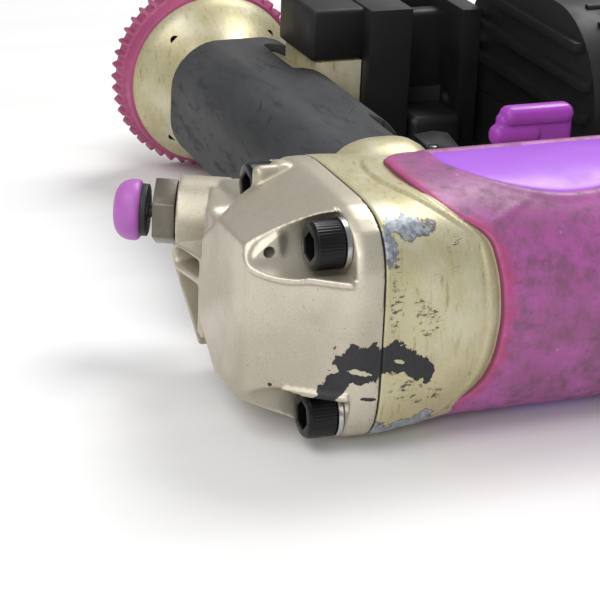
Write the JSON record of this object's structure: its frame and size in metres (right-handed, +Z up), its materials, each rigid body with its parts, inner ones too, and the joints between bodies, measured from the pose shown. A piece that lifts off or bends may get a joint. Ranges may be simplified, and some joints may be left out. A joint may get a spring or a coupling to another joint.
{
  "type": "pneumatic coil roofing nailer",
  "caption": "Pneumatic coil nailer for roofing: champagne cast body, pink soft covers, rubber grip, air-duster button, drum magazine and nose with contact arm.",
  "frame": {"origin": "centre of the part's box in x and y, at the surface that it lies on", "axes": "+X from the head cover towards the nose, +Y from the barrel towards the end of the handle, +Z up, through the side of the tool that lies uppermost"},
  "size_m": [0.2534, 0.2824, 0.086],
  "materials": {
    "cast_silver": "satin metallic lacquer over cast metal",
    "cast_champagne": "worn satin champagne lacquer over cast metal",
    "black_oxide": "black oxide steel, oiled",
    "bright_steel": "bright zinc plate",
    "dark_steel": "dark phosphated steel",
    "spring_steel": "drawn wire",
    "grey_steel": "nickel plate, dulled",
    "purple_knob": "satin moulded plastic",
    "black_rubber": "matt",
    "gasket": "matt",
    "liner_alloy": "hard anodised",
    "white_resin": "machined acetal",
    "protector_pink": "soft moulded elastomer, soiled",
    "panel_lilac": "smooth satin moulding",
    "grip_rubber": "worn, fine crazing",
    "ring_pink": "soft moulded elastomer",
    "tab_purple": "satin moulded plastic",
    "magazine_black": "glass-filled nylon, satin",
    "filter_bronze": "sintered",
    "plug_brass": "zinc-plated coupling plug"
  },
  "bodies": {
    "tool": {"head_cover": "cast_silver", "head_gasket": "gasket", "head_bolts": "black_oxide", "head_bolt_washers": "bright_steel", "duster_bushing": "grey_steel", "duster_spring": "spring_steel", "body_housing": "cast_champagne", "cylinder_liner": "liner_alloy", "cylinder_seals": "black_rubber", "check_valve_band": "black_rubber", "head_valve_spring": "spring_steel", "piston_bumper": "black_rubber", "barrel_protector": "protector_pink", "side_panel_upper": "panel_lilac", "side_panel_lower": "panel_lilac", "grip_sleeve": "grip_rubber", "end_bumper_ring": "ring_pink", "end_cap": "cast_champagne", "end_cap_screws": "black_oxide", "inlet_filter": "filter_bronze", "trigger_pin": "bright_steel", "trigger_valve_bushing": "magazine_black", "trigger_valve_spring": "spring_steel", "nose_body": "dark_steel", "nose_bolts": "black_oxide", "contact_spring": "spring_steel", "feeder_housing": "dark_steel", "feeder_cap": "bright_steel", "feed_spring": "spring_steel", "door_pin": "bright_steel", "magazine_base": "magazine_black", "cover_hinge_pin": "bright_steel", "magazine_bracket": "magazine_black", "magazine_screws": "black_oxide"},
    "duster_button": {"duster_knob": "purple_knob", "duster_disc": "black_rubber", "duster_stem": "bright_steel"},
    "head_valve_body": {"head_valve": "white_resin", "head_valve_seal": "black_rubber"},
    "piston_assembly": {"piston": "liner_alloy", "piston_ring": "black_rubber", "driver_blade": "dark_steel"},
    "trigger_body": {"trigger": "magazine_black", "trigger_arm_pin": "bright_steel"},
    "trigger_arm_body": {"trigger_arm": "bright_steel"},
    "valve_plunger": {"trigger_valve_plunger": "bright_steel"},
    "selector": {"selector_lever": "tab_purple"},
    "contact": {"contact_arm": "dark_steel", "contact_tip": "dark_steel"},
    "dial": {"depth_dial": "magazine_black"},
    "feeder": {"feed_piston": "liner_alloy", "feed_pawl": "bright_steel"},
    "door": {"nail_guide_door": "dark_steel", "latch_pin": "bright_steel"},
    "latch": {"door_latch": "dark_steel"},
    "cover": {"magazine_cover": "magazine_black"},
    "platform": {"nail_platform": "magazine_black"},
    "swivel": {"air_plug": "plug_brass"}
  },
  "joints": [
    {"name": "duster_press", "type": "slide", "parent": "tool", "child": "duster_button", "axis": [0.9063, -0.4226, 0], "range_m": [0, 0.0018], "stiffness_N_per_m": 400, "springref_m": -0.004, "deforming": ["duster_spring"]},
    {"name": "head_valve_lift", "type": "slide", "parent": "tool", "child": "head_valve_body", "axis": [-1, 0, 0], "range_m": [0, 0.005], "stiffness_N_per_m": 800, "springref_m": -0.006, "deforming": ["head_valve_spring"]},
    {"name": "piston_stroke", "type": "slide", "parent": "tool", "child": "piston_assembly", "axis": [1, 0, 0], "range_m": [0, 0.066]},
    {"name": "trigger_pull", "type": "hinge", "parent": "tool", "child": "trigger_body", "pos_m": [-0.0153, -0.05775, 0.034], "axis": [0, 0, 1], "range_deg": [0, 8], "stiffness_Nm_per_rad": 0.6, "springref_deg": -8.59},
    {"name": "trigger_arm_swing", "type": "hinge", "parent": "trigger_body", "child": "trigger_arm_body", "pos_m": [-0.0133, -0.01875, 0.034], "axis": [0, 0, -1], "range_deg": [0, 5]},
    {"name": "valve_plunger_slide", "type": "slide", "parent": "tool", "child": "valve_plunger", "axis": [-1, 0, 0], "range_m": [0, 0.0036], "deforming": ["trigger_valve_spring"]},
    {"name": "selector_turn", "type": "hinge", "parent": "tool", "child": "selector", "pos_m": [-0.0153, -0.05775, 0.05], "axis": [0, 0, 1], "range_deg": [0, 30]},
    {"name": "contact_slide", "type": "slide", "parent": "tool", "child": "contact", "axis": [-1, 0, 0], "range_m": [0, 0.012], "stiffness_N_per_m": 500, "springref_m": -0.01, "deforming": ["contact_spring"]},
    {"name": "depth_dial_turn", "type": "hinge", "parent": "contact", "child": "dial", "pos_m": [0.0487, -0.09375, 0.013], "axis": [1, 0, 0], "range_deg": [-180, 180]},
    {"name": "feed_slide", "type": "slide", "parent": "tool", "child": "feeder", "axis": [0, 1, 0], "range_m": [0, 0.011], "stiffness_N_per_m": 500, "springref_m": -0.008, "deforming": ["feed_spring"]},
    {"name": "door_swing", "type": "hinge", "parent": "tool", "child": "door", "pos_m": [0.0587, -0.11875, 0.0432], "axis": [1, 0, 0], "range_deg": [0, 110]},
    {"name": "latch_swing", "type": "hinge", "parent": "door", "child": "latch", "pos_m": [0.0817, -0.05975, 0.049], "axis": [1, 0, 0], "range_deg": [0, 40], "stiffness_Nm_per_rad": 0.1, "springref_deg": -11.46},
    {"name": "cover_swing", "type": "hinge", "parent": "tool", "child": "cover", "pos_m": [0.0577, 0.04825, 0.043], "axis": [-1, 0, 0], "range_deg": [0, 100]},
    {"name": "platform_slide", "type": "slide", "parent": "tool", "child": "platform", "axis": [-1, 0, 0], "range_m": [0, 0.018]},
    {"name": "plug_swivel", "type": "hinge", "parent": "tool", "child": "swivel", "pos_m": [-0.0473, 0.12425, 0.034], "axis": [0, 1, 0], "continuous": true}
  ],
  "couplings": [
    {"joint": "trigger_arm_swing", "follows": "contact_slide", "rad_per_m": 7.2},
    {"joint": "valve_plunger_slide", "follows": "trigger_pull", "m_per_rad": 0.0255}
  ]
}
